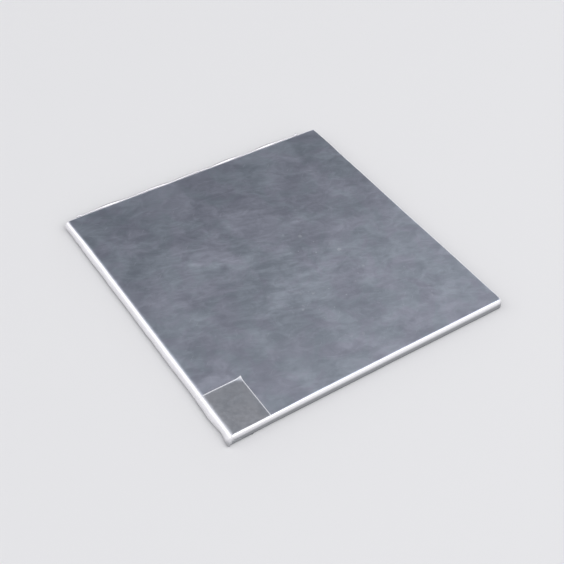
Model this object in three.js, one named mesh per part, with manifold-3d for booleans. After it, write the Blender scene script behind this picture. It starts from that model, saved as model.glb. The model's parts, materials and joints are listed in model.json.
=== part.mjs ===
// A flat, nearly square lithium-ion pouch cell, lying on its back.
//
// Millimetres, +Z up. The origin is the middle of the footprint, on the surface the cell lies on.
// -Y is the front edge, +Y the back edge, -X the left edge and +X the right edge, where the two
// terminal tabs leave the pouch. Two sheets of aluminium laminate are sealed together around the
// electrode stack. The upper sheet is a drawn cup, the lower one a flat cover. Their sealed rims are
// folded under the body on the left, front and right, and stand up against the back wall.

import * as THREE from "three";
import { mergeVertices } from "three/addons/utils/BufferGeometryUtils.js";
import Module from "manifold-3d";

const wasm = await Module();
wasm.setup();

// ---------------------------------------------------------------- driving dimensions
const WIDTH = 150; // along X, at the top face
const DEPTH = 156; // along Y
const TOP = 5.05; // height of the top face above the surface
const LAMINATE = 0.15; // thickness of the aluminium laminate
const CLEARANCE = 0.01; // between sheets that lie on each other
const EDGE_RADIUS = 1.2; // drawing radius along the top edges
const LEFT_DRAFT = 0.8; // how far the left wall leans out at its foot
const CORNER_RADII = { frontLeft: 0.6, frontRight: 1.3, backRight: 1.6, backLeft: 2.2 };
const TAPE = 0.05; // thickness of the fixing tapes

const SEAL_WIDTH = 9; // width of the rims folded under the body
const BACK_RIM_TOP = 5.75; // the rim at the back stands a little proud of the top face
const BACK_RIM_LEFT = -69.3; // the ends of that rim along X
const BACK_RIM_RIGHT = 64.3;

const TAB_THICKNESS = 0.2;
const TAB_WIDTH = 35; // along Y
const TAB_PITCH = 68; // between the centre lines of the two tabs
const TAB_REACH = 26; // length of bare tab under the body
const SEALANT = 0.05; // thickness of one polypropylene sealant strip
const SEALANT_OVERHANG = 2.5; // how much wider than the tab the sealant is, on each side

const ANODE_COUNT = 13;
const CATHODE_COUNT = ANODE_COUNT - 1; // every cathode lies between two anodes
const ANODE_THICKNESS = 0.135;
const CATHODE_THICKNESS = 0.155;
const SEPARATOR = 0.016;
const SHEET_GAP = 0.003; // between an electrode and the separator
const FOIL = 0.02; // bare collector foil that runs from a sheet to its tab
const WELD_PITCH = 0.034; // between the foils where they are welded to the tab
const STACK_BASE = 0.6;

// ---------------------------------------------------------------- levels and places worked out from them
const LEFT = -WIDTH / 2;
const RIGHT = WIDTH / 2;
const FRONT = -DEPTH / 2;
const BACK = DEPTH / 2;
const LAYER = LAMINATE + CLEARANCE;

const RIM_BOTTOM = TAPE + CLEARANCE; // outer face of the cup's rim, folded under
const COVER_RIM = RIM_BOTTOM + LAYER; // the cover's rim lies on it
const COVER_BOTTOM = COVER_RIM + LAYER; // the cover's main sheet
const CAVITY_BOTTOM = COVER_BOTTOM + LAMINATE;

// Under the right edge the tab and its two sealant strips lie between the cup's and the cover's rims.
const TAB_LAYERS = TAB_THICKNESS + 2 * SEALANT + 3 * CLEARANCE;
const OUTER_STRIP = RIM_BOTTOM + LAMINATE + CLEARANCE + SEALANT / 2;
const TAB_LEVEL = OUTER_STRIP + SEALANT / 2 + CLEARANCE + TAB_THICKNESS / 2;
const INNER_STRIP = TAB_LEVEL + TAB_THICKNESS / 2 + CLEARANCE + SEALANT / 2;
const RAISED_RIM = RIM_BOTTOM + LAMINATE + CLEARANCE + TAB_LAYERS;
const RAISED_COVER = RAISED_RIM + LAYER;
const TAB_REST_LEVEL = RIM_BOTTOM + TAB_THICKNESS / 2;
const TAB_INSIDE = RAISED_COVER + LAYER + SEALANT + CLEARANCE + TAB_THICKNESS / 2;
const WELD_BASE = TAB_INSIDE + TAB_THICKNESS / 2 + CLEARANCE; // underside of the lowest welded foil

const STACK = { left: -72, right: 61.2, front: -75.4, back: 75.4 }; // outline of the anodes
const CATHODE_INSET = 1;
const SEPARATOR_OVERHANG = 0.8;
const FOLD_BULGE = 0.3; // how far a fold of the separator reaches past its flat run
const FOIL_WIDTH = 30;
const FAN_START = STACK.right + SEPARATOR_OVERHANG + 0.3; // where the foils begin to come together
const GATHER_END = 65.8; // where they lie on each other
const WELD_END = 71.2;
const TAB_INNER_END = 67.2;
const TAB_YS = { positive: TAB_PITCH / 2, negative: -TAB_PITCH / 2 };

const PATCH_SIZE = 25; // the square of tape on the front left corner
const PATCH_TAPE = 0.06;
const PATCH_RIGHT = -54.6;
const PATCH_BACK = -53.2;

// ---------------------------------------------------------------- materials
const finish = (color, roughness, metalness) =>
  new THREE.MeshStandardMaterial({ color, roughness, metalness });

const LOOKS = {
  laminate: finish(0x8f95a2, 0.42, 0.9),
  laminateUnder: finish(0x9ba1ab, 0.38, 0.9),
  patch: finish(0x8d94a0, 0.34, 0.85),
  amberTape: finish(0xb9782a, 0.35, 0),
  blueTape: finish(0x2f6fae, 0.5, 0),
  greenTape: finish(0x3c8f5c, 0.5, 0),
  sealant: finish(0xdadbd4, 0.55, 0),
  aluminium: finish(0xc9ccd0, 0.35, 1),
  nickel: finish(0xb7b2a6, 0.3, 1),
  cathode: finish(0x26272a, 0.85, 0.1),
  anode: finish(0x35322f, 0.9, 0.1),
  separator: finish(0xf0f1ee, 0.7, 0),
};

// ---------------------------------------------------------------- shape helpers
// A closed three.js geometry as a manifold-3d solid.
function solid(geometry) {
  const bare = geometry.index ? geometry.toNonIndexed() : geometry.clone();
  bare.deleteAttribute("normal");
  bare.deleteAttribute("uv");
  const merged = mergeVertices(bare, 1e-5);
  return new wasm.Manifold(
    new wasm.Mesh({
      numProp: 3,
      vertProperties: new Float32Array(merged.attributes.position.array),
      triVerts: new Uint32Array(merged.index.array),
    }),
  );
}

// A manifold-3d solid as a three.js geometry.
function geometryOf(body) {
  const mesh = body.getMesh();
  const geometry = new THREE.BufferGeometry();
  geometry.setAttribute("position", new THREE.BufferAttribute(mesh.vertProperties, 3));
  geometry.setIndex(new THREE.BufferAttribute(mesh.triVerts, 1));
  return geometry;
}

const join = (...bodies) => bodies.reduce((sum, body) => sum.add(body));

function block(x0, x1, y0, y1, z0, z1) {
  const geometry = new THREE.BoxGeometry(x1 - x0, y1 - y0, z1 - z0);
  return solid(geometry.translate((x0 + x1) / 2, (y0 + y1) / 2, (z0 + z1) / 2));
}

const shapeOf = (points) => new THREE.Shape(points.map(([a, b]) => new THREE.Vector2(a, b)));

function extrusion(points, length) {
  return new THREE.ExtrudeGeometry(shapeOf(points), { depth: length, bevelEnabled: false });
}

// An outline in X and Y, raised from z0 to z1.
function plate(points, z0, z1) {
  return solid(extrusion(points, z1 - z0).translate(0, 0, z0));
}

// A profile in X and Z, run along Y from y0 to y1.
function alongY(points, y0, y1) {
  return solid(extrusion(points, y1 - y0).rotateX(Math.PI / 2).translate(0, y1, 0));
}

// A profile in Y and Z, run along X from x0 to x1.
function alongX(points, x0, x1) {
  const turn = new THREE.Matrix4().makeBasis(
    new THREE.Vector3(0, 1, 0),
    new THREE.Vector3(0, 0, 1),
    new THREE.Vector3(1, 0, 0),
  );
  return solid(extrusion(points, x1 - x0).applyMatrix4(turn).translate(x0, 0, 0));
}

// The outline of a strip of even thickness that follows an open line, with mitred bends.
function ribbon(line, thickness) {
  const unit = ([ax, ay], [bx, by]) => {
    const length = Math.hypot(bx - ax, by - ay);
    return [(bx - ax) / length, (by - ay) / length];
  };
  const side = (sign) =>
    line.map((point, i) => {
      const before = i > 0 ? unit(line[i - 1], point) : unit(point, line[i + 1]);
      const after = i < line.length - 1 ? unit(point, line[i + 1]) : before;
      const normal = [-(before[1] + after[1]), before[0] + after[0]];
      const scale = (sign * thickness) / (1 + before[0] * after[0] + before[1] * after[1]) / 2;
      return [point[0] + normal[0] * scale, point[1] + normal[1] * scale];
    });
  return [...side(-1), ...side(1).reverse()];
}

// The points of a rectangle with a radius of its own at each corner, counter-clockwise.
function roundedRectangle({ x0, x1, y0, y1, radii, steps = 4 }) {
  const corners = [
    [x1, y1, radii.backRight, -1, -1, 0],
    [x0, y1, radii.backLeft, 1, -1, 90],
    [x0, y0, radii.frontLeft, 1, 1, 180],
    [x1, y0, radii.frontRight, -1, 1, 270],
  ];
  return corners.flatMap(([x, y, radius, inX, inY, from]) =>
    Array.from({ length: steps + 1 }, (_, i) => {
      const angle = THREE.MathUtils.degToRad(from + (90 * i) / steps);
      const reach = Math.max(radius, 0.02);
      return [
        x + inX * reach + reach * Math.cos(angle),
        y + inY * reach + reach * Math.sin(angle),
      ];
    }),
  );
}

// A closed skin through level outlines of equal point count, listed from the lowest to the highest.
function loft(sections) {
  const count = sections[0].points.length;
  const positions = sections.flatMap(({ z, points }) => points.flatMap(([x, y]) => [x, y, z]));
  const index = [];
  for (let level = 0; level + 1 < sections.length; level++) {
    for (let i = 0; i < count; i++) {
      const a = level * count + i;
      const b = level * count + ((i + 1) % count);
      index.push(a, b, b + count, a, b + count, a + count);
    }
  }
  const flat = (points) => points.map(([x, y]) => new THREE.Vector2(x, y));
  const last = (sections.length - 1) * count;
  for (const [a, b, c] of THREE.ShapeUtils.triangulateShape(flat(sections[0].points), [])) {
    index.push(a, c, b);
  }
  for (const [a, b, c] of THREE.ShapeUtils.triangulateShape(flat(sections.at(-1).points), [])) {
    index.push(last + a, last + b, last + c);
  }
  const geometry = new THREE.BufferGeometry();
  geometry.setAttribute("position", new THREE.Float32BufferAttribute(positions, 3));
  geometry.setIndex(index);
  return solid(geometry);
}

// ---------------------------------------------------------------- the pouch
// The body's outline at a height, a given distance inside its outer face.
function bodySection(z, inset) {
  const lean = LEFT_DRAFT * (1 - (z - RIM_BOTTOM) / (TOP - RIM_BOTTOM));
  const shrink = (radius) => radius - inset;
  const { frontLeft, frontRight, backRight, backLeft } = CORNER_RADII;
  return {
    z,
    points: roundedRectangle({
      x0: LEFT - lean + inset,
      x1: RIGHT - inset,
      y0: FRONT + inset,
      y1: BACK - inset,
      radii: {
        frontLeft: shrink(frontLeft),
        frontRight: shrink(frontRight),
        backRight: shrink(backRight),
        backLeft: shrink(backLeft),
      },
    }),
  };
}

// The body as a solid, a wall's thickness inside its outer face, with rounded top edges.
function bodySolid(wall, bottom) {
  const radius = EDGE_RADIUS - wall;
  const steps = 5;
  const sections = [bodySection(bottom, wall)];
  for (let i = 0; i <= steps; i++) {
    const angle = ((Math.PI / 2) * i) / steps;
    const z = TOP - EDGE_RADIUS + radius * Math.sin(angle);
    sections.push(bodySection(z, wall + radius * (1 - Math.cos(angle))));
  }
  return loft(sections);
}

// Slits that let the rims fold under at the two front corners.
function mitreSlit(x, y, towardsX) {
  const reach = SEAL_WIDTH + 2;
  const gap = 0.25;
  const points = [
    [x - gap, y],
    [x + gap, y],
    [x + gap + towardsX * reach, y - reach],
    [x - gap + towardsX * reach, y - reach],
  ];
  return plate(points, -1, COVER_RIM - CLEARANCE / 2);
}

// The upper sheet: a drawn cup, its rim folded under on three sides and turned up at the back.
function pouchCup() {
  const shell = bodySolid(0, RIM_BOTTOM).subtract(bodySolid(LAMINATE, RIM_BOTTOM + LAMINATE));
  const under = RIM_BOTTOM + LAMINATE + CLEARANCE / 2;
  const inner = {
    left: LEFT + SEAL_WIDTH,
    right: RIGHT - SEAL_WIDTH,
    front: FRONT + SEAL_WIDTH + 1,
  };
  const opening = block(inner.left, inner.right, inner.front, BACK - LAMINATE, -1, under);
  const passage = block(BACK_RIM_LEFT - 0.3, BACK_RIM_RIGHT + 0.3, BACK - 1, BACK + 1, -1,
    CAVITY_BOTTOM + CLEARANCE);
  const slits = join(
    mitreSlit(inner.left, inner.front, -1),
    mitreSlit(inner.right, inner.front, 1),
  );
  const cornerKept = 1.1; // material left at the corner where a slit ends
  const whole = block(LEFT + cornerKept, RIGHT - cornerKept, FRONT + cornerKept, BACK, -1, under);
  const turnUp = CAVITY_BOTTOM + CLEARANCE;
  const backRim = join(
    block(BACK_RIM_LEFT, BACK_RIM_RIGHT, BACK - LAMINATE, BACK + LAYER, turnUp,
      turnUp + LAMINATE),
    block(BACK_RIM_LEFT, BACK_RIM_RIGHT, BACK + CLEARANCE, BACK + LAYER, turnUp, BACK_RIM_TOP),
  );
  return shell
    .subtract(opening)
    .subtract(passage)
    .subtract(slits.intersect(whole))
    .add(backRim);
}

// The lower sheet: flat under the stack, raised over the tabs, its rim folded with the cup's.
function pouchCover() {
  const leftFace = LEFT - LEFT_DRAFT + 2 * LAYER;
  const frontFace = FRONT + LAYER;
  const joggleStart = 62.5;
  const joggleEnd = 63.9;
  const sheet = plate(
    roundedRectangle({
      x0: leftFace,
      x1: joggleStart + 0.5,
      y0: frontFace,
      y1: BACK - LAYER,
      radii: { frontLeft: 0.5, frontRight: 0.1, backRight: 0.1, backLeft: CORNER_RADII.backLeft },
    }),
    COVER_BOTTOM,
    CAVITY_BOTTOM,
  ).subtract(block(joggleStart, RIGHT, FRONT, BACK, 0, TOP));
  const rimEndX = joggleStart - 0.5;
  const innerX = LEFT + SEAL_WIDTH - 0.4;
  const innerY = FRONT + SEAL_WIDTH + 0.6;
  const slit = 0.3;
  const leftRim = join(
    plate(
      [
        [leftFace, frontFace + slit + 0.6],
        [innerX, innerY + slit],
        [innerX, BACK - 6],
        [leftFace, BACK - 4],
      ],
      COVER_RIM,
      COVER_RIM + LAMINATE,
    ),
    block(leftFace, leftFace + LAMINATE, FRONT + 1.2, BACK - 4, COVER_RIM, CAVITY_BOTTOM),
  );
  const frontRim = join(
    plate(
      [
        [leftFace + slit + 0.6, frontFace],
        [rimEndX, frontFace],
        [rimEndX, innerY],
        [innerX + slit, innerY],
      ],
      COVER_RIM,
      COVER_RIM + LAMINATE,
    ),
    block(leftFace + 1.2, rimEndX, frontFace, frontFace + LAMINATE, COVER_RIM, CAVITY_BOTTOM),
  );
  const middle = LAMINATE / 2;
  const turnX = RIGHT - LAYER - TAB_LAYERS - middle;
  const shelfEnd = 72.5;
  const shelf = [
    [joggleStart - 0.4, COVER_BOTTOM + middle],
    [joggleStart, COVER_BOTTOM + middle],
    [joggleEnd, RAISED_COVER + middle],
    [shelfEnd, RAISED_COVER + middle],
  ];
  const turn = [
    [shelfEnd - 1, RAISED_COVER + middle],
    [turnX, RAISED_COVER + middle],
    [turnX, RAISED_RIM + middle],
    [RIGHT - SEAL_WIDTH + 0.2, RAISED_RIM + middle],
  ];
  const rightRim = join(
    alongY(ribbon(shelf, LAMINATE), frontFace, BACK - LAYER),
    alongY(ribbon(turn, LAMINATE), FRONT + 1.7, BACK - 1.9),
  );
  const backRim = join(
    block(BACK_RIM_LEFT, joggleStart - 0.2, BACK - 1, BACK + 2 * LAYER, COVER_BOTTOM,
      CAVITY_BOTTOM),
    block(BACK_RIM_LEFT, joggleStart - 0.2, BACK + LAYER + CLEARANCE, BACK + 2 * LAYER,
      COVER_BOTTOM, BACK_RIM_TOP),
    block(joggleStart - 1, BACK_RIM_RIGHT, BACK + LAYER + CLEARANCE, BACK + 2 * LAYER,
      CAVITY_BOTTOM + LAYER, BACK_RIM_TOP),
  );
  return join(sheet, leftRim, frontRim, rightRim, backRim);
}

// A square of tape on the front left corner, folded over the left edge.
function cornerPatch() {
  const lift = CLEARANCE + PATCH_TAPE / 2;
  const level = TOP + lift;
  const radius = EDGE_RADIUS + lift;
  const lean = (z) => LEFT - LEFT_DRAFT * (1 - (z - RIM_BOTTOM) / (TOP - RIM_BOTTOM));
  const line = [[PATCH_RIGHT, level]];
  const steps = 5;
  for (let i = 0; i <= steps; i++) {
    const angle = ((Math.PI / 2) * i) / steps;
    const z = TOP - EDGE_RADIUS + radius * Math.cos(angle);
    line.push([lean(Math.min(z, TOP)) + EDGE_RADIUS - radius * Math.sin(angle), z]);
  }
  const foot = 0.7;
  line.push([lean(foot) - lift, foot]);
  return alongY(ribbon(line, PATCH_TAPE), FRONT + EDGE_RADIUS, PATCH_BACK);
}

// ---------------------------------------------------------------- terminals
// A terminal tab: welded to the foils inside, turned under with the rim, bare at its free end.
function terminalTab(y) {
  const turnX = RIGHT - LAYER - SEALANT - CLEARANCE - TAB_THICKNESS / 2;
  const line = [
    [TAB_INNER_END, TAB_INSIDE],
    [turnX, TAB_INSIDE],
    [turnX, TAB_LEVEL],
    [64.4, TAB_LEVEL],
    [63.4, TAB_REST_LEVEL],
    [RIGHT - SEAL_WIDTH - TAB_REACH, TAB_REST_LEVEL],
  ];
  return alongY(ribbon(line, TAB_THICKNESS), y - TAB_WIDTH / 2, y + TAB_WIDTH / 2);
}

// One of the two sealant strips of a tab: the outer one faces the cup, the inner one the cover.
function sealantStrip(y, outer) {
  const fromWall = outer ? 0 : SEALANT + TAB_THICKNESS + 2 * CLEARANCE;
  const turnX = RIGHT - LAYER - SEALANT / 2 - fromWall;
  const low = outer ? OUTER_STRIP : INNER_STRIP;
  const fromTab = TAB_THICKNESS / 2 + CLEARANCE + SEALANT / 2;
  const inside = TAB_INSIDE + (outer ? fromTab : -fromTab);
  const outerEnd = RIGHT - SEAL_WIDTH - 1.4;
  const line = [
    [WELD_END + 0.4, inside],
    [turnX, inside],
    [turnX, low],
    [outerEnd, low],
  ];
  const half = TAB_WIDTH / 2 + SEALANT_OVERHANG;
  return alongY(ribbon(line, SEALANT), y - half, y + half);
}

// ---------------------------------------------------------------- the electrode stack
// The levels of the separator's runs and of the sheets between them, from the bottom up.
function stackLevels() {
  const runs = [];
  const sheets = [];
  let z = STACK_BASE;
  for (let i = 0; i < ANODE_COUNT + CATHODE_COUNT; i++) {
    const thickness = i % 2 === 0 ? ANODE_THICKNESS : CATHODE_THICKNESS;
    runs.push(z + SEPARATOR / 2);
    z += SEPARATOR + SHEET_GAP;
    sheets.push({ kind: i % 2 === 0 ? "anode" : "cathode", z, thickness });
    z += thickness + SHEET_GAP;
  }
  runs.push(z + SEPARATOR / 2);
  return { runs, sheets, top: z + SEPARATOR };
}

// An electrode sheet: the coated rectangle and the bare foil that runs down to the weld.
function electrode({ kind, z, thickness }, order) {
  const inset = kind === "cathode" ? CATHODE_INSET : 0;
  const radius = 1.5;
  const coated = plate(
    roundedRectangle({
      x0: STACK.left + inset,
      x1: STACK.right - inset,
      y0: STACK.front + inset,
      y1: STACK.back - inset,
      radii: { frontLeft: radius, frontRight: radius, backRight: radius, backLeft: radius },
      steps: 3,
    }),
    z,
    z + thickness,
  );
  const weld = WELD_BASE + FOIL / 2 + order * WELD_PITCH;
  const middle = z + thickness / 2;
  const edge = STACK.right - inset;
  const y = kind === "cathode" ? TAB_YS.positive : TAB_YS.negative;
  const foil = alongY(
    ribbon(
      [
        [edge - 1, middle],
        [FAN_START, middle],
        [GATHER_END, weld],
        [WELD_END, weld],
      ],
      FOIL,
    ),
    y - FOIL_WIDTH / 2,
    y + FOIL_WIDTH / 2,
  );
  return coated.add(foil);
}

// The separator: one strip, folded to and fro between the sheets.
function separatorStrip(runs) {
  const front = STACK.front - SEPARATOR_OVERHANG;
  const back = STACK.back + SEPARATOR_OVERHANG;
  const line = [];
  const steps = 6;
  runs.forEach((z, i) => {
    const forward = i % 2 === 0;
    line.push([forward ? front : back, z], [forward ? back : front, z]);
    if (i + 1 === runs.length) return;
    const half = (runs[i + 1] - z) / 2;
    for (let k = 1; k < steps; k++) {
      const angle = (Math.PI * k) / steps;
      const reach = FOLD_BULGE * Math.sin(angle);
      line.push([forward ? back + reach : front - reach, z + half * (1 - Math.cos(angle))]);
    }
  });
  return alongX(ribbon(line, SEPARATOR), STACK.left - SEPARATOR_OVERHANG,
    STACK.right + SEPARATOR_OVERHANG);
}

// A tape that wraps the stack's front or back edge and holds its layers together.
function stackTape(x, back, stackTop) {
  const width = 18;
  const wrap = 12;
  const thickness = 0.04;
  const gap = 0.015;
  const side = back ? 1 : -1;
  const outer = side * (STACK.back + SEPARATOR_OVERHANG + FOLD_BULGE + 0.08);
  const inner = outer - side * wrap;
  const low = STACK_BASE - gap - thickness / 2;
  const high = stackTop + gap + thickness / 2;
  const line = [
    [inner, low],
    [outer, low],
    [outer, high],
    [inner, high],
  ];
  return alongX(ribbon(line, thickness), x - width / 2, x + width / 2);
}

// The insulating tape over the foils where they are welded to a tab.
function weldTape(y) {
  const foilsTop = WELD_BASE + ANODE_COUNT * WELD_PITCH;
  const half = FOIL_WIDTH / 2 + 2;
  return block(GATHER_END + 0.8, WELD_END + 1.6, y - half, y + half, foilsTop + 0.03,
    foilsTop + 0.08);
}

// ---------------------------------------------------------------- tapes under the body
// A strip that holds the left or front rim down on the cover.
function rimTape(alongFront, middle) {
  const width = 14;
  const onRim = 6;
  const onCover = 9;
  const step = 0.6;
  const edge = alongFront ? FRONT + SEAL_WIDTH + 1 : LEFT + SEAL_WIDTH;
  const low = TAPE / 2;
  const high = COVER_BOTTOM - CLEARANCE - TAPE / 2;
  const line = [
    [edge - onRim, low],
    [edge + 0.1, low],
    [edge + step, high],
    [edge + onCover, high],
  ];
  const outline = ribbon(line, TAPE);
  return alongFront
    ? alongX(outline, middle - width / 2, middle + width / 2)
    : alongY(outline, middle - width / 2, middle + width / 2);
}

// ---------------------------------------------------------------- assembly
const cell = new THREE.Group();

function add(name, body, look) {
  const mesh = new THREE.Mesh(geometryOf(body), look);
  mesh.name = name;
  cell.add(mesh);
}

const numbered = (name, i) => `${name}_${String(i).padStart(2, "0")}`;

add("pouch_cup", pouchCup(), LOOKS.laminate);
add("pouch_cover", pouchCover(), LOOKS.laminateUnder);
add("corner_patch", cornerPatch(), LOOKS.patch);

for (const [pole, y] of Object.entries(TAB_YS)) {
  add(`${pole}_tab`, terminalTab(y), pole === "positive" ? LOOKS.aluminium : LOOKS.nickel);
  add(`${pole}_tab_sealant_outer`, sealantStrip(y, true), LOOKS.sealant);
  add(`${pole}_tab_sealant_inner`, sealantStrip(y, false), LOOKS.sealant);
  add(`${pole}_weld_tape`, weldTape(y), LOOKS.greenTape);
}

const stack = stackLevels();
stack.sheets.forEach((sheet, i) => {
  const order = Math.floor(i / 2);
  add(numbered(sheet.kind, order + 1), electrode(sheet, order), LOOKS[sheet.kind]);
});
add("separator_strip", separatorStrip(stack.runs), LOOKS.separator);

for (const [place, x] of [["left", -45], ["right", 35]]) {
  add(`stack_tape_front_${place}`, stackTape(x, false, stack.top), LOOKS.blueTape);
  add(`stack_tape_back_${place}`, stackTape(x, true, stack.top), LOOKS.blueTape);
}

[-40, 0, 40].forEach((x, i) => add(`front_rim_tape_${i + 1}`, rimTape(true, x), LOOKS.amberTape));
[-38, 32].forEach((y, i) => add(`left_rim_tape_${i + 1}`, rimTape(false, y), LOOKS.amberTape));

export default cell;
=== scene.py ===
"""The visual model of a pouch battery cell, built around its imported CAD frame.

Lengths in this script are millimetres, and become metres where a mesh, light or camera is made. The
frame is the CAD model's: the cell lies on z = 0, -Y is its front edge, -X its left edge, and the
terminal tabs leave the pouch at the +X edge and lie folded under the body.
"""

import json
import math

import bpy
import numpy as np
from mathutils import Matrix, Quaternion, Vector


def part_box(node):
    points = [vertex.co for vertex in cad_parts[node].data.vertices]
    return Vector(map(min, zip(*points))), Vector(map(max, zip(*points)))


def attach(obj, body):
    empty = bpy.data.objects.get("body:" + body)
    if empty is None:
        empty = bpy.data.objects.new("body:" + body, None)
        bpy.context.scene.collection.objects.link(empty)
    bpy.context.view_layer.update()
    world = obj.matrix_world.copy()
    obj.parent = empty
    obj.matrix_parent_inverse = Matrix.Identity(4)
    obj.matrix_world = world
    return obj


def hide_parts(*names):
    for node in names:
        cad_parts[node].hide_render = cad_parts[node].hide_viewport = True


MM = 0.001

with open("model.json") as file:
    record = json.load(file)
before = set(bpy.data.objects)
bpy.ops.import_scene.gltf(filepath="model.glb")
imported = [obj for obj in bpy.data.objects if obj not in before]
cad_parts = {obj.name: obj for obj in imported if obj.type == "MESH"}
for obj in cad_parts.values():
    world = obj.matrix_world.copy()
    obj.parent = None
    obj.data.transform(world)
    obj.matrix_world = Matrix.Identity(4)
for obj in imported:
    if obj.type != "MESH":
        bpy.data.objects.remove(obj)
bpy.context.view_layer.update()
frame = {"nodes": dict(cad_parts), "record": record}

# ------------------------------------------------------------------ the CAD model's dimensions
LEFT, RIGHT = -75.0, 75.0
FRONT, BACK = -78.0, 78.0
TOP = 5.05
RIM_BOTTOM = 0.06
LAMINATE = 0.15
LAYER = 0.16
TAPE = 0.05
SEAL_WIDTH = 9.0
RIM_WIDTH = {"left": SEAL_WIDTH, "front": SEAL_WIDTH + 1.0, "right": SEAL_WIDTH}
MITRE = 0.9  # how far the rims' cuts at the front corners run sideways for each millimetre back
COVER_RIM = RIM_BOTTOM + LAYER
COVER_BOTTOM = COVER_RIM + LAYER
RAISED_RIM = 0.55
RAISED_COVER = RAISED_RIM + LAYER
JOGGLE_START, JOGGLE_END = 62.5, 63.9
FIN_LEFT, FIN_RIGHT = -69.3, 64.3
FIN_TOP = 5.75
PATCH_RIGHT = -54.6
PATCH_BACK = -53.2
CATHODE_EDGE = 60.3
ANODE_EDGE = 61.3


# ------------------------------------------------------------------ mesh helpers
CREASE_ANGLE = 48.0  # faces that meet more sharply than this show a crease


def make_piece(name, points, faces, replaces=()):
    """A smooth mesh object of the root body, from points in millimetres."""
    mesh = bpy.data.meshes.new(name)
    mesh.from_pydata((np.asarray(points) * MM).tolist(), [], faces)
    mesh.polygons.foreach_set("use_smooth", [True] * len(mesh.polygons))
    mesh.update()
    mesh.set_sharp_from_angle(angle=math.radians(CREASE_ANGLE))
    piece = bpy.data.objects.new(name, mesh)
    bpy.context.scene.collection.objects.link(piece)
    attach(piece, "root")
    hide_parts(*replaces)
    return piece


def thicken(piece, thickness, offset=-1.0):
    """Gives a sheet its thickness, behind its face, or in front of it where offset is 1."""
    solidify = piece.modifiers.new("thickness", "SOLIDIFY")
    solidify.thickness = thickness * MM
    solidify.offset = offset
    solidify.use_even_offset = False


class Sheet:
    """Points and faces of one piece, gathered from several grids."""

    def __init__(self):
        self.blocks = []
        self.faces = []
        self.count = 0

    def add_points(self, points):
        """Stores an array of points and returns their indices in the same arrangement."""
        points = np.asarray(points, float)
        shape = points.shape[:-1]
        self.blocks.append(points.reshape(-1, 3))
        index = np.arange(self.count, self.count + self.blocks[-1].shape[0])
        self.count += len(index)
        return index.reshape(shape)

    def add_faces(self, index, flip=False, keep=None):
        """Quads over a grid of indices, only where keep says so."""
        a, b = index[:-1, :-1], index[1:, :-1]
        c, d = index[1:, 1:], index[:-1, 1:]
        quads = np.stack([a, d, c, b] if flip else [a, b, c, d], -1)
        quads = quads[keep] if keep is not None else quads.reshape(-1, 4)
        self.faces.extend(quads.reshape(-1, 4).tolist())

    def add_grid(self, points, flip=False):
        self.add_faces(self.add_points(points), flip)

    def points(self):
        return np.concatenate(self.blocks)


def grid(u, v, surface):
    """Points of surface(u, v) over every pair of the two lists."""
    uu, vv = np.meshgrid(u, v, indexing="ij")
    return np.stack(np.broadcast_arrays(*surface(uu, vv)), -1)


def graded(low, high, fine, coarse):
    """Positions from low to high, fine apart at both ends and up to coarse apart between."""
    growth = 0.12
    half = [0.0]
    middle = (high - low) / 2
    while half[-1] < middle:
        half.append(half[-1] + min(coarse, fine + growth * half[-1]))
    half = np.array(half) * middle / half[-1]
    return np.concatenate([low + half[:-1], (high - half)[::-1]])


def ripple(x, y, wavelength, seed):
    """Smooth random waves over x and y, mostly within -1 to 1."""
    waves = 9
    rng = np.random.default_rng(seed)
    total = 0.0
    for _ in range(waves):
        angle, phase = rng.uniform(0, 2 * math.pi, 2)
        k = 2 * math.pi / (wavelength * rng.uniform(0.65, 1.5))
        total = total + np.sin(k * (x * math.cos(angle) + y * math.sin(angle)) + phase)
    return total / math.sqrt(2 * waves)


def bump(x, middle, width):
    """1 at the middle, falling off smoothly to either side."""
    return np.exp(-(((x - middle) / width) ** 2))


def ease(x, low, high):
    """0 at low, 1 at high, smooth between."""
    t = np.clip((x - low) / (high - low), 0, 1)
    return t * t * (3 - 2 * t)


# ------------------------------------------------------------------ the pouch's outline
ZONE = 3.2  # the stretch along each side that a corner's rounding takes up


def rounded(across, along, radius):
    """Moves a point near a square corner onto rounded rings round it.

    across and along are its distances from the corner's two sides.
    """
    low, high = np.minimum(across, along), np.maximum(across, along)
    ring = np.maximum(radius - low, 1e-4)
    zone = np.maximum(ZONE - low, 1e-3)
    from_corner = high - low
    inside = (from_corner < zone) & (radius - low > 1e-3)
    run = (1 - from_corner / zone) * (zone - ring + math.pi * ring / 4)
    turn = np.clip((run - (zone - ring)) / ring, 0, math.pi / 4)
    straight = run <= zone - ring
    new_high = np.where(straight, zone - run, ring * (1 - np.sin(turn)))
    new_low = np.where(straight, 0.0, ring * (1 - np.cos(turn)))
    new_high = np.where(inside, low + new_high, high)
    new_low = np.where(inside, low + new_low, low)
    swap = across > along
    return np.where(swap, new_high, new_low), np.where(swap, new_low, new_high)


def round_corners(x, y, box, radii):
    """Rounds the four corners of a box for points on or in it. radii is ((fl, fr), (bl, br))."""
    x0, x1, y0, y1 = box
    on_right = x > (x0 + x1) / 2
    on_back = y > (y0 + y1) / 2
    dx = np.where(on_right, x1 - x, x - x0)
    dy = np.where(on_back, y1 - y, y - y0)
    radius = np.where(
        on_back,
        np.where(on_right, radii[1][1], radii[1][0]),
        np.where(on_right, radii[0][1], radii[0][0]),
    )
    dx, dy = rounded(dx, dy, radius)
    return np.where(on_right, x1 - dx, x0 + dx), np.where(on_back, y1 - dy, y0 + dy)


ROLL_STEPS, WALL_STEPS, FOLD_STEPS = 9, 9, 5


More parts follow.
